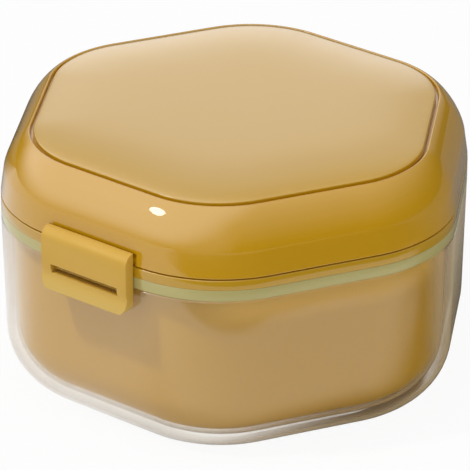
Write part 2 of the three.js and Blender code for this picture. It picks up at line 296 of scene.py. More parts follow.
def hexagon_wall(name, section, closed=False, arc_steps=ARC_STEPS):
    """Takes a section's (flat, height) points once round the hexagon."""
    reach = CORE / math.cos(math.radians(30))
    turns = [math.radians(60 * k) for k in range(SIDES)]
    centres = [Vector((math.cos(t), math.sin(t), 0)) * reach for t in turns]
    outward = Vector((math.cos(math.radians(-30)), math.sin(math.radians(-30)), 0))
    places = [
        (centres[0] + outward * (flat - CORE) + Vector((0, 0, z))) * MM for flat, z in section
    ]
    piece = draw_chain(name, places)
    if closed:
        close_chain(piece)
    for k in range(SIDES):
        bpy.ops.mesh.spin(
            steps=arc_steps, angle=math.radians(-60), center=centres[k] * MM, axis=(0, 0, 1),
            use_auto_merge=False,
        )
        along = (centres[(k + 1) % SIDES] - centres[k]) * MM
        bpy.ops.mesh.extrude_region_move(TRANSFORM_OT_translate={"value": along})
    bpy.ops.mesh.select_all(action="SELECT")
    bpy.ops.mesh.remove_doubles(threshold=SEAM)
    fill_middles(piece)
    bpy.ops.mesh.select_all(action="SELECT")
    bpy.ops.mesh.normals_make_consistent(inside=False)
    leave()
    return piece


def fill_middles(piece):
    """Closes the flat six-sided holes in floors and tops, one height at a time."""
    leave()
    holes = {}
    for key, uses in edge_uses(piece).items():
        if uses == 1:
            height = round(piece.data.vertices[key[0]].co.z / MM, 2)
            holes.setdefault(height, set()).add(key)
    for height in sorted(holes):
        pick(piece, "edges", lambda _, edge: edge.key in holes[height])
        bpy.ops.mesh.edge_face_add()
        leave()
    bpy.ops.object.mode_set(mode="EDIT")


trial = hexagon_wall("trial_wall", eased([(CORE, 0, 0), (FLAT, 0, 1), (FLAT, 5, 0)]))
report(trial)
bpy.data.objects.remove(trial)

# %% [markdown]
# ## Bars, blocks and joining
# Hinge barrels, pins, feet and ribs are turned or plain forms. Each starts as a primitive at its
# place, has its edges eased by a bevel, and is then joined to the wall that carries it with a
# boolean, so that the plastic is one body and the clear cup has no hidden skins inside it. A web or
# an ear is a face drawn from the side and pushed across.

# %% Bars, blocks and joining
def bar_along_x(name, radius, x0, x1, y, z, ease=0.0, sides=40):
    start_clean()
    bpy.ops.mesh.primitive_cylinder_add(
        vertices=sides, radius=radius * MM, depth=(x1 - x0) * MM,
        location=((x0 + x1) / 2 * MM, y * MM, z * MM), rotation=(0, math.pi / 2, 0),
    )
    piece = settle(name)
    if ease:
        ease_edges(
            piece, lambda middle, _: min(abs(middle.x - x0), abs(middle.x - x1)) < NEAR, ease,
        )
    return piece


def post_along_z(name, radius, x, y, z0, z1, ease=0.0, sides=32):
    start_clean()
    bpy.ops.mesh.primitive_cylinder_add(
        vertices=sides, radius=radius * MM, depth=(z1 - z0) * MM,
        location=(x * MM, y * MM, (z0 + z1) / 2 * MM),
    )
    piece = settle(name)
    if ease:
        ease_edges(piece, lambda middle, _: abs(middle.z - z0) < NEAR, ease)
    return piece


def block(name, x0, x1, y0, y1, z0, z1, ease=0.0):
    start_clean()
    bpy.ops.mesh.primitive_cube_add(
        size=1, location=((x0 + x1) / 2 * MM, (y0 + y1) / 2 * MM, (z0 + z1) / 2 * MM),
        scale=((x1 - x0) * MM, (y1 - y0) * MM, (z1 - z0) * MM),
    )
    piece = settle(name)
    if ease:
        ease_edges(piece, lambda middle, _: True, ease)
    return piece


def prism_along_x(name, corners, x0, x1):
    """A face drawn in Y and Z, then pushed along X."""
    piece = draw_chain(name, [Vector((x0, y, z)) * MM for y, z in corners])
    close_chain(piece)
    bpy.ops.mesh.edge_face_add()
    bpy.ops.mesh.extrude_region_move(TRANSFORM_OT_translate={"value": ((x1 - x0) * MM, 0, 0)})
    bpy.ops.mesh.select_all(action="SELECT")
    bpy.ops.mesh.normals_make_consistent(inside=False)
    leave()
    return piece


def combine(piece, others, operation):
    """Adds or cuts the other solids, one after another, and removes them."""
    for other in others:
        apply_modifier(piece, "BOOLEAN", operation=operation, solver="EXACT", object=other)
        bpy.data.objects.remove(other)


print("joining tools ready")

# %% [markdown]
# ## The clear cup
# The cup is one injection moulding in clear plastic, about two millimetres thick, with a big soft
# bend at the foot. The section runs from the axis along the underside, up the outside, over an
# eased lip, and back down the inside, so the wall has its real thickness, and its edge shows as a
# pale outline round the basket. The clip snaps over a rib at the front, and two lugs at the back
# hold the hinge pin.

# %% Clear cup
CUP_DRAFT = 0.55
CUP_WALL = 1.9
CUP_FLOOR = 2.2
CUP_BEND, CUP_INNER_BEND = 12.2, 10.3
IN_WALL = 44.05  # what joins the cup starts inside its wall
RIB_HALF, RIB_REACH, RIB_HEIGHT = 7.9, 46.7, 0.8
LUG_X = (8.0, 12.0)
WEB_LOW, WEB_HIGH = 31.1, 36.05
BARREL = 2.0
HINGE_BORE = 0.9

foot = FLAT - CUP_DRAFT
inner_foot = foot - CUP_WALL
cup_section = [(CORE, 0.0)]
cup_section += floor_bend(foot, 0, CUP_BEND)
cup_section += eased([
    (foot, CUP_BEND, 0), (FLAT, CUP_TOP, 0.35), (FLAT - CUP_WALL, CUP_TOP, 0.3),
    (inner_foot, CUP_FLOOR + CUP_INNER_BEND, 0),
])[1:-1]
cup_section += reversed(floor_bend(inner_foot, CUP_FLOOR, CUP_INNER_BEND))
cup_section += [(CORE, CUP_FLOOR)]
cup = hexagon_wall("cup_clear", cup_section)

added = [
    block("rib", -RIB_HALF, RIB_HALF, -RIB_REACH, -IN_WALL, CUP_TOP - RIB_HEIGHT, CUP_TOP, ease=0.2)
]
web = [
    (IN_WALL, WEB_LOW), (HINGE[0] + BARREL, HINGE[1]), (HINGE[0] - BARREL, HINGE[1]),
    (HINGE[0] - BARREL, WEB_HIGH), (IN_WALL, WEB_HIGH),
]
for side in (-1, 1):
    x0, x1 = sorted(side * x for x in LUG_X)
    added.append(prism_along_x("web", web, x0, x1))
    added.append(bar_along_x("barrel", BARREL, x0, x1, *HINGE, ease=0.25))
combine(cup, added, "UNION")
combine(cup, [bar_along_x("bore", HINGE_BORE, -14, 14, *HINGE)], "DIFFERENCE")
smooth(cup, 30)
report(cup)

# %% [markdown]
# ## The strainer basket
# The basket sits a hair inside the cup and is what gives the cup its colour. It is a thinner wall
# of the same kind, and comes from a section in the same way.

# %% Strainer basket
BASKET_DRAFT = 0.55
BASKET_TOP_FLAT, BASKET_TOP = 42.6, 35.6
BASKET_WALL, BASKET_FLOOR = 1.3, 1.4
BASKET_BOTTOM = 3.25
BASKET_BEND, BASKET_INNER_BEND = 9.8, 8.5

basket_foot = BASKET_TOP_FLAT - BASKET_DRAFT
basket_inner = basket_foot - BASKET_WALL
basket_floor = BASKET_BOTTOM + BASKET_FLOOR
basket_section = [(CORE, BASKET_BOTTOM)]
basket_section += floor_bend(basket_foot, BASKET_BOTTOM, BASKET_BEND)
basket_section += eased([
    (basket_foot, BASKET_BOTTOM + BASKET_BEND, 0), (BASKET_TOP_FLAT, BASKET_TOP, 0.3),
    (BASKET_TOP_FLAT - BASKET_WALL, BASKET_TOP, 0.3),
    (basket_inner, basket_floor + BASKET_INNER_BEND, 0),
])[1:-1]
basket_section += reversed(floor_bend(basket_inner, basket_floor, BASKET_INNER_BEND, steps=14))
basket_section += [(CORE, basket_floor)]
basket = hexagon_wall("basket_strainer", basket_section)
print("basket wall drawn with", len(basket_section), "points")

# %% [markdown]
# Six low feet keep the basket off the cup's floor, and two ledges with a lip are there to lift it
# by. Blocks and posts do for these. Each starts inside the wall or the floor that carries it, so
# that the boolean has something to join.

# %% Ledges and feet
LEDGE_HALF = 8
LEDGE_Y, LEDGE_Z = (41.95, 36.3), (34.3, BASKET_TOP)
LIP_Y, LIP_Z = (36.3, 37.6), (33.1, 35.3)
FOOT_RADIUS, FOOT_CIRCLE = 2.2, 26
FOOT_Z = (2.25, 4.0)

extras = []
for side in (-1, 1):
    y0, y1 = sorted(side * y for y in LEDGE_Y)
    extras.append(block("ledge", -LEDGE_HALF, LEDGE_HALF, y0, y1, *LEDGE_Z, ease=0.35))
    y0, y1 = sorted(side * y for y in LIP_Y)
    extras.append(block("ledge_lip", -LEDGE_HALF, LEDGE_HALF, y0, y1, *LIP_Z, ease=0.35))
for corner in range(SIDES):
    turn = math.radians(60 * corner + 30)
    x, y = FOOT_CIRCLE * math.cos(turn), FOOT_CIRCLE * math.sin(turn)
    extras.append(post_along_z("foot", FOOT_RADIUS, x, y, *FOOT_Z, ease=0.3))
combine(basket, extras, "UNION")
print("added", len(extras), "ledges, lips and feet")

# %% [markdown]
# The floor has drain holes. One cutter is modelled and copied over a triangular grid, and all the
# copies are joined before a single boolean cuts them, which is much faster than one by one.

# %% Drain holes
DRAIN_RADIUS, DRAIN_PITCH, DRAIN_RINGS = 1.7, 8, 3

cutter = post_along_z("drain", DRAIN_RADIUS, 0, 0, 1, 7)
cutters = [cutter]
steps = range(-DRAIN_RINGS, DRAIN_RINGS + 1)
for q in steps:
    for r in steps:
        if abs(q + r) <= DRAIN_RINGS and (q, r) != (0, 0):
            twin = cutter.copy()
            twin.data = cutter.data.copy()
            bpy.context.collection.objects.link(twin)
            row = r * math.sin(math.radians(60))
            twin.location = (DRAIN_PITCH * (q + r / 2) * MM, DRAIN_PITCH * row * MM, 0)
            cutters.append(twin)
start_clean()
for each in cutters:
    each.select_set(True)
bpy.context.view_layer.objects.active = cutter
bpy.ops.object.join()
combine(basket, [cutter], "DIFFERENCE")
smooth(basket, 30)
report(basket)
print(len(cutters), "drain holes")

# %% [markdown]
# ## The silicone ring
# The ring is soft and slightly see-through, and its edges are rounder than the plastic's. A tongue
# on its top presses into a groove in the lid. A closed section makes a ring, so there is no middle
# to fill.

# %% Silicone ring
RING_BOTTOM = 36.45
TONGUE_IN, TONGUE_OUT, TONGUE_TOP = 43.7, 44.4, 39.95

ring_section = eased(
    [
        (INNER, RING_BOTTOM, 0.35), (FLAT, RING_BOTTOM, 0.3), (FLAT, SEAL_TOP, 0.12),
        (TONGUE_OUT, SEAL_TOP, 0), (TONGUE_OUT, TONGUE_TOP, 0.15),
        (TONGUE_IN, TONGUE_TOP, 0.15), (TONGUE_IN, SEAL_TOP, 0), (INNER, SEAL_TOP, 0.12),
    ],
    closed=True,
)
ring = hexagon_wall("seal_ring", ring_section, closed=True)
smooth(ring, 40)
report(ring)

# %% [markdown]
# ## The lid's rim
# The rim is the narrow band under the dome. It carries the groove for the ring, and an upstand
# that the dome's edge slips over. Between band and dome it steps in, which makes the thin dark
# seam.

# %% Lid rim
FIT = 0.15  # gap between mouldings that plug together
STEP_FLAT = 44.3  # the rim at the seam
UPSTAND, UPSTAND_TOP = 43.9, 42.4

groove_in, groove_out, groove_top = TONGUE_IN - FIT, TONGUE_OUT + FIT, TONGUE_TOP + FIT
rim_section = eased(
    [
        (INNER, SEAL_TOP, 0.1), (groove_in, SEAL_TOP, 0), (groove_in, groove_top, 0),
        (groove_out, groove_top, 0), (groove_out, SEAL_TOP, 0), (FLAT, SEAL_TOP, 0.14),
        (FLAT, BAND_TOP, 0.22), (STEP_FLAT, BAND_TOP, 0), (STEP_FLAT, SHELL_BOTTOM, 0),
        (UPSTAND, SHELL_BOTTOM, 0), (UPSTAND, UPSTAND_TOP, 0.15), (INNER, UPSTAND_TOP, 0.15),
    ],
    closed=True,
)
rim = hexagon_wall("lid_band", rim_section, closed=True)
print("rim drawn with", len(rim_section), "points")

# %% [markdown]
# At the back the rim has the middle part of the hinge, a barrel on a short bridge. At the front it
# has two small ears that hold the clip's pin, each a neck drawn from the side with a round top.

# %% Knuckle and ears
KNUCKLE_HALF = 7.7
IN_RIM = 44.7
EAR_X, EAR_HALF, EAR = 5.5, 1.5, 0.85
PIN_X = 9.3
PIVOT_BORE = 0.53

added = [
    block(
        "bridge", -KNUCKLE_HALF, KNUCKLE_HALF, IN_RIM, HINGE[0], SEAL_TOP, HINGE[1] + BARREL,
    ),
    bar_along_x("knuckle", BARREL, -KNUCKLE_HALF, KNUCKLE_HALF, *HINGE, ease=0.25),
]
neck = [
    (-IN_RIM, 39.1), (-IN_RIM, 40.7), (PIVOT[0] + EAR, BAND_TOP), (PIVOT[0] + EAR, PIVOT[1]),
    (PIVOT[0] - EAR, PIVOT[1]), (PIVOT[0] - EAR, 39.55), (-46.1, 39.1),
]
for middle in (-EAR_X, EAR_X):
    x0, x1 = middle - EAR_HALF, middle + EAR_HALF
    added.append(prism_along_x("ear", neck, x0, x1))
    added.append(bar_along_x("ear_top", EAR, x0, x1, *PIVOT))
combine(rim, added, "UNION")
bores = [
    bar_along_x("bore", HINGE_BORE, -9, 9, *HINGE),
    bar_along_x("bore", PIVOT_BORE, -PIN_X, PIN_X, *PIVOT),
]
combine(rim, bores, "DIFFERENCE")
smooth(rim, 30)
report(rim)

# %% [markdown]
# ## The domed shell
# The dome is the glossy part that the eye goes to, so its shoulder is drawn with many points. The
# wall leans in a little, then rolls over into the top, where a well takes the panel. The well's
# edge is eased, and that narrow round is what shows as a bright line around the panel. A round
# trough at the front leaves room for the clip's roll.

# %% Domed shell
SHOULDER = 45.85
WELL = 38.95
DOME_LEAN, DOME_WALL, TOP_WALL = 0.66, 1.5, 1.4
TROUGH, TROUGH_HALF = 1.9, 10.8

dome_flat = FLAT - DOME_LEAN
inner_dome = dome_shoulder(
    dome_flat - DOME_WALL, SHOULDER - DOME_WALL, WELL - DOME_WALL, SEAT - TOP_WALL, steps=14,
)
outer_dome = dome_shoulder(dome_flat, SHOULDER, WELL, DOME_TOP, steps=22)
rabbet, rabbet_top = UPSTAND + FIT, UPSTAND_TOP + FIT
shell_section = [(CORE, SEAT - TOP_WALL)]
shell_section += reversed(inner_dome)
shell_section += eased([
    (*inner_dome[0], 0), (43.5, rabbet_top, 0), (rabbet, rabbet_top, 0),
    (rabbet, SHELL_BOTTOM, 0.12), (FLAT, SHELL_BOTTOM, 0.22), (*outer_dome[0], 0),
])[1:-1]
shell_section += outer_dome[:-2]
shell_section += eased([
    (*outer_dome[-3], 0), (WELL, DOME_TOP - 0.02, 0.32), (WELL, SEAT, 0.1), (CORE, SEAT, 0),
])[1:]
shell = hexagon_wall("lid_dome", shell_section, arc_steps=18)
trough = bar_along_x("trough", TROUGH, -TROUGH_HALF, TROUGH_HALF, *PIVOT, sides=48)
combine(shell, [trough], "DIFFERENCE")
smooth(shell, 30)
report(shell)

# %% [markdown]
# ## The top panel
# The panel is a separate plate that drops into the well and stands a little proud. Its edge comes
# from the same spun section. The top is flat over the middle and falls only near the edge, so that
# the reflection on it stays even. It is raised ring by ring: the top outline is extruded, scaled
# towards the middle and lifted, and the last ring is merged to one point.

# %% Top panel
PANEL, PANEL_EDGE = 38.35, 54.2
CROWN_SHARES = (
    0.985, 0.97, 0.95, 0.93, 0.91, 0.88, 0.85, 0.81, 0.76, 0.7, 0.62, 0.52, 0.4, 0.26, 0.12,
)
CROWN_POWER = 8  # the higher, the flatter the middle

crown_z = PANEL_EDGE + 0.2
panel_section = eased([
    (CORE, SEAT, 0), (PANEL, SEAT, 0.2), (PANEL, PANEL_EDGE, 0.3), (PANEL - 0.8, crown_z, 0),
])
panel = hexagon_wall("lid_panel_top", panel_section, arc_steps=18)
pick(
    panel, "polygons",
    lambda middle, _: abs(middle.z - crown_z) < NEAR and math.hypot(middle.x, middle.y) < 5,
)
bpy.ops.mesh.delete(type="ONLY_FACE")
leave()
top_uses = edge_uses(panel)
pick(panel, "edges", lambda _, edge: top_uses.get(edge.key) == 1)
share, height = 1.0, crown_z
for wanted in CROWN_SHARES:
    rise = crown_z + (PANEL_TOP - crown_z) * (1 - wanted ** CROWN_POWER) - height
    bpy.ops.mesh.extrude_region_move(TRANSFORM_OT_translate={"value": (0, 0, rise * MM)})
    ratio = wanted / share
    share, height = wanted, height + rise
    bpy.ops.transform.resize(value=(ratio, ratio, 1), center_override=(0, 0, height * MM))
last_rise = (PANEL_TOP - height) * MM
bpy.ops.mesh.extrude_region_move(TRANSFORM_OT_translate={"value": (0, 0, last_rise)})
bpy.ops.mesh.merge(type="CENTER")
bpy.ops.mesh.select_all(action="SELECT")
bpy.ops.mesh.normals_make_consistent(inside=False)
leave()
smooth(panel, 30)
report(panel)

# %% [markdown]
# ## The latch clip
# The clip hangs from its pin and snaps over the cup's rib. From the side it is a plate whose top
# rolls over in a quarter round. Below the slot its front is scooped and then leans out for the
# finger. It is drawn in section, pushed across, and cut to the outline with round lower corners.

# %% Latch clip
CLIP_BACK, CLIP_FRONT, CLIP_TOP = -45.3, -47.6, 44.05
CLIP_ROLL = 2.3
CLIP_HALF, CLIP_LOW = 10.5, 31.06

clip_section = [(CLIP_BACK, 31.55)]
clip_section += [
    (CLIP_BACK - CLIP_ROLL * math.sin(t), CLIP_TOP - CLIP_ROLL * (1 - math.cos(t)))
    for t in quarter(10)
]
clip_section += [
    (CLIP_FRONT, 35.9), (CLIP_FRONT + 0.35, 34.8), (CLIP_FRONT - 0.45, 31.55),
    (CLIP_FRONT + 0.05, CLIP_LOW - 0.01), (CLIP_BACK - 0.5, CLIP_LOW - 0.01),
]
clip = prism_along_x("latch_plate", clip_section, -CLIP_HALF - 0.2, CLIP_HALF + 0.2)
outline = block("outline", -CLIP_HALF, CLIP_HALF, -49.5, -43.5, CLIP_LOW, CLIP_LOW + 19.9)
ease_edges(
    outline,
    lambda middle, _: abs(abs(middle.x) - CLIP_HALF) < NEAR and abs(middle.z - CLIP_LOW) < NEAR,
    width=2.8, segments=14,
)
combine(clip, [outline], "INTERSECT")
print("clip plate cut to its outline")

# %% [markdown]
# The slot, the pockets for the ears and the bore for the pin are cut next, and last of all a bevel
# eases every edge. Each pocket is cut with one shape, because two that only touch would leave gaps
# in the skin.

# %% Slot, pockets and bore
SLOT_HALF, SLOT_Z = 8.2, (34.87, 36.77)
POCKET, POCKET_HALF, POCKET_FLOOR = 1.05, 1.7, 38.85
BEHIND = -44

pocket = [(BEHIND, POCKET_FLOOR), (PIVOT[0] - POCKET, POCKET_FLOOR)]
pocket += [
    (PIVOT[0] - POCKET * math.cos(t), PIVOT[1] + POCKET * math.sin(t)) for t in quarter(8)
]
pocket += [(BEHIND, PIVOT[1] + POCKET)]
cuts = [block("slot", -SLOT_HALF, SLOT_HALF, -50, BEHIND, *SLOT_Z)]
for middle in (-EAR_X, EAR_X):
    cuts.append(prism_along_x("pocket", pocket, middle - POCKET_HALF, middle + POCKET_HALF))
cuts.append(bar_along_x("clip_bore", PIVOT_BORE, -11.5, 9.5, *PIVOT))
combine(clip, cuts, "DIFFERENCE")
apply_modifier(
    clip, "BEVEL", width=0.22 * MM, segments=3, limit_method="ANGLE",
    angle_limit=math.radians(50),
)
smooth(clip, 35)
report(clip)

# %% [markdown]
# ## The pins
# Both pins are plain steel wire cut to length, with eased ends. They are turned forms, so a
# cylinder whose end edges are bevelled is the whole story.

# %% Pins
latch_pin = bar_along_x("pin_latch", 0.45, -PIN_X, PIN_X, *PIVOT, ease=0.1)
hinge_pin = bar_along_x("pin_hinge", 0.8, -12.4, 12.4, *HINGE, ease=0.2)
for pin in (latch_pin, hinge_pin):
    smooth(pin, 30)
    report(pin)

# %% [markdown]
# ## Writing shader maths as sums
# Node trees get long. A small class wraps one output socket, so that `1 - noise * 0.3` adds its
# Math nodes by itself.

# %% Sockets as numbers
class Signal:
    """One output socket of a node. Sums on it add Math nodes."""

    def __init__(self, finish, socket):
        self.finish = finish
        self.socket = socket

    def maths(self, operation, first, second):
        settings = {"operation": operation}
        return self.finish.node("ShaderNodeMath", settings, {0: first, 1: second})

    def __add__(self, other):
        return self.maths("ADD", self, other)

    def __rsub__(self, other):
        return self.maths("SUBTRACT", other, self)

    def __sub__(self, other):
        return self.maths("SUBTRACT", self, other)

    def __mul__(self, other):
        return self.maths("MULTIPLY", self, other)

    def __pow__(self, other):
        return self.maths("POWER", self, other)

    __radd__ = __add__
    __rmul__ = __mul__


print("sockets can be added, subtracted, multiplied and raised")

# %% [markdown]
# Every other node comes from one method that takes the node's type, its settings and what goes
# into its sockets. Patterns read the piece's own coordinates, so they stay put when it moves.

# %% Finishes
DIRECTION, OBJECT = 0, 3  # outputs of Texture Coordinate: in the world, and on a piece
RAYS = {"camera": 0, "shadow": 1, "glossy": 3}  # outputs of Light Path
WHITE = (1, 1, 1, 1)


class Finish:
    """The shading of a material, or of the world, under construction."""

    def __init__(self, name, owner=None):
        self.material = owner or bpy.data.materials.new(name)
        self.material.use_nodes = True
        self.tree = self.material.node_tree
        self.tree.nodes.clear()
        kind = "ShaderNodeOutputWorld" if owner else "ShaderNodeOutputMaterial"
        self.output = self.tree.nodes.new(kind)

    def plug(self, made, key, value):
        if isinstance(value, Signal):
            self.tree.links.new(value.socket, made.inputs[key])
        else:
            made.inputs[key].default_value = value

    def node(self, kind, settings=None, sockets=None, out=0):
        made = self.tree.nodes.new(kind)
        for key, value in (settings or {}).items():
            setattr(made, key, value)
        for key, value in (sockets or {}).items():
            self.plug(made, key, value)
        return Signal(self, made.outputs[out])

    def place(self):
        return self.node("ShaderNodeTexCoord", out=OBJECT)

    def along(self, axis):
        """Place along X, Y or Z, in metres."""
        return self.node("ShaderNodeSeparateXYZ", None, {0: self.place()}, "XYZ".index(axis))

    def ray(self, kind):
        """1 for what the camera, a lamp's shadow or the gloss sees, and 0 for the rest."""
        return self.node("ShaderNodeLightPath", out=RAYS[kind])

    def noise(self, scale, detail=3.0, roughness=0.5, stretch=(1, 1, 1)):
        place = self.node(
            "ShaderNodeMapping", {"vector_type": "POINT"},
            {"Vector": self.place(), "Scale": stretch},
        )
        return self.node("ShaderNodeTexNoise", None, {
            "Vector": place, "Scale": scale, "Detail": detail, "Roughness": roughness,
        })

    def ramp(self, value, low, high, to_low=0.0, to_high=1.0):
        return self.node(
            "ShaderNodeMapRange", {"interpolation_type": "SMOOTHSTEP"},
            {"Value": value, "From Min": low, "From Max": high,
             "To Min": to_low, "To Max": to_high},
        )

    def blend(self, factor, first, second):
        """Mixes two colours: links, or plain red, green and blue."""
        colours = [c if isinstance(c, Signal) else (*c, 1) for c in (first, second)]
        sockets = {0: factor, 6: colours[0], 7: colours[1]}
        return self.node("ShaderNodeMix", {"data_type": "RGBA"}, sockets, out=2)

    def bump(self, height, strength, distance):
        return self.node(
            "ShaderNodeBump", None, {"Height": height, "Strength": strength, "Distance": distance},
        )

    def mix_shaders(self, factor, first, second):
        return self.node("ShaderNodeMixShader", None, {0: factor, 1: first, 2: second})

    def show(self, shader):
        self.tree.links.new(shader.socket, self.output.inputs[0])
        return self.material

    def surface(self, sockets):
        return self.show(self.node("ShaderNodeBsdfPrincipled", None, sockets))


def dress(piece, material):
    piece.data.materials.clear()
    piece.data.materials.append(material)


print("shader helpers ready")

# %% [markdown]
# ## Ochre plastic
# All the coloured plastic is one ochre, but each moulding has its own gloss. Dome, panel and band
# come from a polished mould, which a thin smooth coat over a softer body shows best. The panel's
# ochre is a little darker than the dome's, as painted shade that evens out the stronger light on
# the top. The clip and the basket are satin and have no coat. Real mouldings are never perfectly
# even: the pigment drifts a little, handling leaves faint dull patches, and edges that rub go
# slightly paler and flatter. Noise in object space gives all three, at sizes of a few centimetres,
# a few millimetres and a few tenths. Two mouldings also have an end that is painted paler, as
# painted light: the clip's lip, where its front leans out into the light, and the upper right of
# the basket, against the shade under the lid's overhang.

# %% Ochre plastics
def ochre(name, colour, pale, gloss, coat, specular, worn, grain, painted_light=None):
    """worn: (height, reach) of rubbed edges. The last argument: (heights, widths, colour) of painted
    light.
    """
    finish = Finish(name)
    height = finish.along("Z")
    drift = finish.ramp(finish.noise(26, 2), 0.35, 0.65)
    smudge = finish.ramp(finish.noise(95, 4, 0.6), 0.45, 0.7)
    rub = 0.0
    for edge, reach in worn:
        below = finish.ramp(height, (edge - reach) * MM, edge * MM)
        above = finish.ramp(height, edge * MM, (edge + reach) * MM, 1.0, 0.0)
        rub = below * above + rub
    rub = rub * finish.ramp(finish.noise(420, 4, 0.65), 0.5, 0.72)
    rubbed = tuple(min(1.0, v * 1.12 + 0.03) for v in pale)
    tone = finish.blend(drift * 0.22, colour, pale)
    tone = finish.blend(rub * 0.22, tone, rubbed)
    # An end painted paler: painted light, not the plastic's own colour.
    if painted_light:
        heights, widths, painted_light_tone = painted_light
        painted_light_mask = finish.ramp(height, heights[0] * MM, heights[1] * MM)
        if widths:
            painted_light_mask = painted_light_mask * finish.ramp(finish.along("X"), widths[0] * MM, widths[1] * MM)
        tone = finish.blend(painted_light_mask, tone, painted_light_tone)
    return finish.surface({
        "Base Color": tone, "Roughness": smudge * 0.05 + (rub * 0.12 + gloss),
        "Normal": finish.bump(finish.noise(2600, 2), grain, 0.00001),
        "IOR": 1.49, "Specular IOR Level": specular,
        "Coat Weight": coat, "Coat Roughness": 0.02, "Coat IOR": 1.7,
    })


POLISHED = {"gloss": 0.3, "coat": 1.0, "specular": 0.1, "grain": 0.15}
dome_finish = ochre(
    "gloss_ochre_dome", (0.60, 0.315, 0.003), (0.62, 0.335, 0.008),
    worn=[(41.3, 0.4), (54.0, 0.35)], **POLISHED,
)
# The panel's ochre is a little darker than the dome's: painted shade that evens out the stronger
# light on the top.
panel_finish = ochre(
    "gloss_ochre_panel", (0.57, 0.315, 0.004), (0.59, 0.335, 0.010),
    worn=[(54.45, 0.3)], **POLISHED,
)
band_finish = ochre(
    "gloss_ochre_band", (0.54, 0.30, 0.005), (0.57, 0.32, 0.010),
    worn=[(40.9, 0.25)], **POLISHED,
)
clip_finish = ochre(
    "satin_ochre_clip", (0.64, 0.375, 0.045), (0.67, 0.40, 0.055),
    gloss=0.42, coat=0.0, specular=0.5, worn=[(31.1, 0.6), (43.9, 0.6)], grain=0.3,
    # The lip below the slot is painted paler: painted light, where the front leans out into the
    # light.
    painted_light=((36.0, 32.0), None, (0.68, 0.45, 0.10)),
)
basket_finish = ochre(
    "satin_ochre_basket", (0.67, 0.405, 0.01), (0.70, 0.425, 0.02),
    gloss=0.45, coat=0.0, specular=0.2, worn=[(35.5, 0.5)], grain=0.0,
    # The upper right of the basket is painted paler: painted light, against the shade of the lid's
    # overhang.
    painted_light=((28.5, 33.5), (20, 30), (0.88, 0.57, 0.08)),
)
dress(shell, dome_finish)
dress(panel, panel_finish)
dress(rim, band_finish)
dress(clip, clip_finish)
dress(basket, basket_finish)
print("ochre plastics:", len(bpy.data.materials))

# %% [markdown]
# ## Clear plastic
# Through the thin cup one sees the basket almost as it is. A refracting glass shader would bend
# and darken it, and needs many samples. So three things are mixed instead: plain see-through, a
# mirror that grows as the wall turns away, and a pale haze. The haze shows where the wall is seen
# edge on. Towards positive X it is painted browner and thicker, and along the foot there it hides
# the floor: painted shade, for the shade on that side of the case. The rib lies in the clip's slot,
# has no mirror and is painted dark ochre, a painted reflection of the slot's walls in shade. Rays
# on their way to a lamp pass through, so that the basket isn't left in the dark. Polishing marks
# and water spots only vary the gloss.

# %% Clear plastic
CLEAR_TINT = (0.97, 0.945, 0.9, 1)
SHADOW_TINT = (0.97, 0.96, 0.94, 1)
HAZE_TONES = ((0.86, 0.76, 0.64), (0.90, 0.81, 0.70))
RIGHT_PAINTED_SHADE = (0.80, 0.62, 0.35)
RIB_PAINTED_REFLECTION = (0.56, 0.31, 0.004)


def clear_plastic():
    finish = Finish("clear_plastic_cup")
    facing = finish.node("ShaderNodeLayerWeight", None, {"Blend": 0.5}, out=1)
    off_rib = finish.ramp(finish.along("Y"), -45.6 * MM, -45.2 * MM)
    # 0 on the left, 1 towards positive X: where the cup's haze is painted browner and thicker, as
    #                                      painted shade.
    right = finish.ramp(finish.along("X"), 16 * MM, 36 * MM)

    spots = finish.ramp(finish.noise(160, 3, 0.6), 0.55, 0.75)
    swirl = finish.noise(700, 3, 0.6, (1, 1, 0.25))
    roughness = spots * 0.03 + (swirl * 0.02 + 0.03)
    normal = finish.bump(finish.noise(45, 2), 0.03, 0.0002)
    cloud = finish.ramp(finish.noise(30, 2), 0.3, 0.7)
    # The haze is painted brown towards the right: painted shade for the shade on that side of the
    # case.
    tone = finish.blend(right, finish.blend(cloud, *HAZE_TONES), RIGHT_PAINTED_SHADE)
    # On the rib in the clip's slot the haze is dark ochre: a painted reflection of the slot's walls
    # in shade.
    tone = finish.blend(off_rib, RIB_PAINTED_REFLECTION, tone)

    through = finish.node("ShaderNodeBsdfTransparent", None, {"Color": CLEAR_TINT})
    mirror = finish.node(
        "ShaderNodeBsdfGlossy", None, {"Color": WHITE, "Roughness": roughness, "Normal": normal},
    )
    # The rib has no mirror, so only its painted reflection shows there.
    clear = finish.mix_shaders((facing ** 5 * 0.9 + 0.07) * off_rib, through, mirror)
    haze = finish.node("ShaderNodeBsdfPrincipled", None, {
        "Base Color": tone, "Roughness": roughness, "Normal": normal, "IOR": 1.5,
    })
    # Haze where the wall is seen edge on, thicker on the right, where it is painted shade. Along the
    # foot on the right the brown haze is painted shade alone and hides the floor.
    edge_milk_and_shade = finish.ramp(facing, 0.5, 0.9) * (right * 0.5 + 0.4)
    foot_painted_shade = finish.ramp(finish.along("Z"), 1.6 * MM, 3.2 * MM, 0.97, 0.0) * right
    milk_and_shade = (1 - (1 - edge_milk_and_shade) * (1 - foot_painted_shade)) * 0.97 + 0.03
    # The rib takes half its colour from its painted reflection.
    body = finish.mix_shaders(milk_and_shade + (1 - off_rib) * 0.5, clear, haze)
    passing = finish.node("ShaderNodeBsdfTransparent", None, {"Color": SHADOW_TINT})
    return finish.show(finish.mix_shaders(finish.ray("shadow"), body, passing))


dress(cup, clear_plastic())
print("cup is clear")

# %% [markdown]
# ## Silicone and steel
# Silicone is soft to the eye: greenish, faintly cloudy, with a broad sheen, and it lets a little
# light into itself, which Subsurface gives. The pins are drawn wire, so their grain is a noise
# that is stretched along their length, and the metal goes brighter and duller with it.

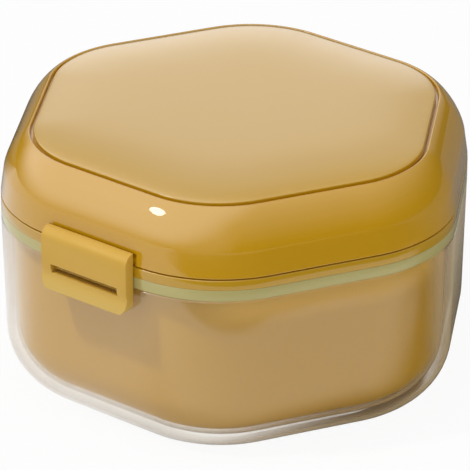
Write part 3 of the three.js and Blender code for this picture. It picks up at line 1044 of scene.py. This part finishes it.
# %% Silicone and steel
def silicone():
    finish = Finish("silicone_seal")
    cloud = finish.ramp(finish.noise(60, 3), 0.3, 0.7)
    return finish.surface({
        "Base Color": finish.blend(cloud * 0.5, (0.52, 0.45, 0.16), (0.47, 0.41, 0.13)),
        "Roughness": cloud * 0.08 + 0.42,
        "Normal": finish.bump(finish.noise(1800, 3, 0.6), 0.5, 0.00002),
        "IOR": 1.41, "Coat Weight": 1.0, "Coat Roughness": 0.15,
        "Subsurface Weight": 0.2, "Subsurface Scale": 0.001,
        "Subsurface Radius": (1.0, 0.8, 0.5),
    })


def steel_wire():
    finish = Finish("drawn_steel_wire")
    grain = finish.noise(1500, 3, 0.6, (0.05, 1, 1))
    return finish.surface({
        "Base Color": finish.blend(grain, (0.52, 0.52, 0.53), (0.66, 0.66, 0.67)),
        "Metallic": 1.0, "Roughness": grain * 0.2 + 0.22,
        "Normal": finish.bump(grain, 0.4, 0.00002),
    })


dress(ring, silicone())
wire = steel_wire()
dress(latch_pin, wire)
dress(hinge_pin, wire)
print("materials:", len(bpy.data.materials))

# %% [markdown]
# ## Joining the pieces to the frame
# Each piece rides on the body that moves it, and stands for the solid named beside it, which is
# hidden. The last column names a material slot that nothing reads.

# %% Ride and replace
FITTED = [
    (cup, "cup", "outer_cup", "clear_plastic"),
    (hinge_pin, "cup", "hinge_pin", "steel"),
    (basket, "basket", "strainer_basket", "basket_plastic"),
    (ring, "lid", "seal_gasket", "silicone"),
    (rim, "lid", "lid_rim", "rim_plastic"),
    (shell, "lid", "lid_shell", "lid_plastic"),
    (panel, "lid", "lid_panel", "lid_plastic"),
    (latch_pin, "lid", "latch_pin", "steel"),
    (clip, "clip", "latch_clip", "clip_plastic"),
]
start_clean()
for piece, body, node, slot in FITTED:
    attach(piece, body)
    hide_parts(node)
    print(f"{piece.name} rides on {body}")

# %% [markdown]
# ## Floor
# The case stands on a plain pale floor that runs out of view. To the camera it is nearly white,
# and keeps the case's soft shadow. In the gloss a floor that is white all over would wash out the
# lower half of the lid and the cup, so there it is dark but for four soft pools of white: near on
# the left, a strip on the right, behind, and a faint one far in front.

# %% Floor
start_clean()
bpy.ops.mesh.primitive_plane_add(size=6, location=(0, 0, 0))
floor = bpy.context.object
floor.name = "floor"
ground = Finish("pale_floor")
seen, mirrored = ground.ray("camera"), ground.ray("glossy")
across, deep = ground.along("X"), ground.along("Y")
outward = across * 0.76 - deep * 0.65  # away from the case's right front side

left_pool = ground.ramp(across, -0.02, 0.045, 1.0, 0.0) * ground.ramp(deep, -0.02, 0.05, 1.0, 0.0)
strip = ground.ramp(outward, 0.042, 0.06) * ground.ramp(outward, 0.112, 0.124, 1.0, 0.0)
strip_end = ground.ramp(across, 0.12, 0.14, 1.0, 0.0) * ground.ramp(deep, 0.02, 0.06, 0.78, 0.0)
right_pool = strip * strip_end
back_pool = ground.ramp(deep, 0.03, 0.12, 0.02, 0.18)
far_pool = ground.ramp(deep, -0.35, -0.1, 0.36, 0.0)
pool = 1 - (1 - left_pool) * (1 - right_pool) * (1 - back_pool) * (1 - far_pool)

paint = ground.blend(mirrored, (0.92, 0.92, 0.92), (0.03, 0.03, 0.03))
plain = ground.node("ShaderNodeBsdfPrincipled", None, {
    "Base Color": paint, "Roughness": 0.9, "Specular IOR Level": 0.0,
})
glow = ground.node("ShaderNodeEmission", None, {"Color": WHITE, "Strength": 1.0})
dress(floor, ground.show(ground.mix_shaders(seen * 0.93 + mirrored * pool, plain, glow)))
print("floor ready")

# %% [markdown]
# ## World
# The camera sees plain white behind the case. Matt surfaces get an even soft light with a little
# more from the right front. The gloss sees a room of its own: brightest high on the left front,
# rising towards the ceiling, with a faint glow low in front and two behind that edge the cup and
# the dome with light. Each glow grows softly towards its own direction.

# %% World
world = bpy.data.worlds.new("studio")
bpy.context.scene.world = world
room = Finish("studio", world)
sight = room.node("ShaderNodeTexCoord", out=DIRECTION)
rise = room.node("ShaderNodeSeparateXYZ", None, {0: sight}, out=2)


def glow_towards(direction, start, full, strength):
    """Grows from nothing at one nearness to the direction to its strength at another."""
    aim = tuple(Vector(direction).normalized())
    nearness = room.node(
        "ShaderNodeVectorMath", {"operation": "DOT_PRODUCT"}, {0: sight, 1: aim}, out=1,
    )
    return room.ramp(nearness, start, full) * strength


def light(strength):
    return room.node("ShaderNodeBackground", None, {"Color": WHITE, "Strength": strength})


front = glow_towards((-0.45, -0.45, 0.77), 0.4, 0.82, 1.0) * room.ramp(rise, 0.0, 0.35, 0.6, 1.0)
above = room.ramp(rise, 0.1, 1.15) * 1.2
ahead = glow_towards((0.28, -0.9, 0.3), 0.78, 1.0, 0.5)
rear = glow_towards((-0.6, 0.78, 0.15), 0.76, 1.02, 0.78)
rear = rear + glow_towards((-0.61, 0.76, 0.24), 0.965, 1.0, 0.9)
gleam = front * 2.2 + (1 - front) * (above + ahead)
gleam = gleam + rear * room.ramp(rise, 0.05, 0.15) + 0.03
fill = glow_towards((0.8, -0.5, 0.3), -0.2, 1.0, 0.35) + 0.42
unseen = room.mix_shaders(room.ray("glossy"), light(fill), light(gleam))
room.show(room.mix_shaders(room.ray("camera"), unseen, light(1.0)))
print("world ready")

# %% [markdown]
# ## Lamps
# One round lamp high on the left is the key. It shades the case and casts the clip's shadow, and
# the gloss doesn't mirror it. The small bright spot on the dome's shoulder is the mirror image of
# a second lamp, an oval one that only the gloss sees.

# %% Lamps
LAMP_DISTANCE = 1.5


def round_lamp(name, direction, size, watts):
    bpy.ops.object.light_add(type="AREA")
    lamp = bpy.context.object
    lamp.name = name
    lamp.location = Vector(direction).normalized() * LAMP_DISTANCE
    lamp.rotation_euler = Vector(direction).to_track_quat("Z", "Y").to_euler()
    lamp.data.shape = "DISK"
    lamp.data.size = size
    lamp.data.energy = watts
    print(name, "at", [round(v, 2) for v in lamp.location])
    return lamp


key = round_lamp("key", (-0.27, -0.42, 0.867), 0.1, 7.6)
key.visible_glossy = False
spark = round_lamp("spark", (-0.398, -0.627, 0.67), 0.35, 2.4)
spark.data.shape = "ELLIPSE"
spark.data.size_y = 0.28
spark.visible_diffuse = False

# %% [markdown]
# ## Camera
# A long lens from nearly a metre away, at the photograph's angle. The case almost fills the square
# picture. The lens looks at a point a little below the middle of the case, found by fitting the
# case's outline.

# %% Camera
AZIMUTH, ELEVATION = math.radians(37.93), math.radians(26.9)
DISTANCE = 0.8931
LENS = 343.0

upright = Vector((0, 0, 1))
level = Vector((math.sin(AZIMUTH), -math.cos(AZIMUTH), 0))  # towards the camera, along the floor
right = Vector((math.cos(AZIMUTH), math.sin(AZIMUTH), 0))
back = level * math.cos(ELEVATION) + upright * math.sin(ELEVATION)
up = upright * math.cos(ELEVATION) - level * math.sin(ELEVATION)
aim = Vector((0, 0, 0.031395)) - up * 0.00429 - right * 0.00021
camera_data = bpy.data.cameras.new("camera")
camera_data.sensor_width = 36
camera_data.lens = LENS
camera_data.clip_start = 0.05
camera = bpy.data.objects.new("camera", camera_data)
bpy.context.scene.collection.objects.link(camera)
camera.location = aim + back * DISTANCE
camera.rotation_euler = back.to_track_quat("Z", "Y").to_euler()
bpy.context.scene.camera = camera
bpy.context.scene.view_settings.view_transform = "Standard"
print("camera at", [round(v, 3) for v in camera.location])
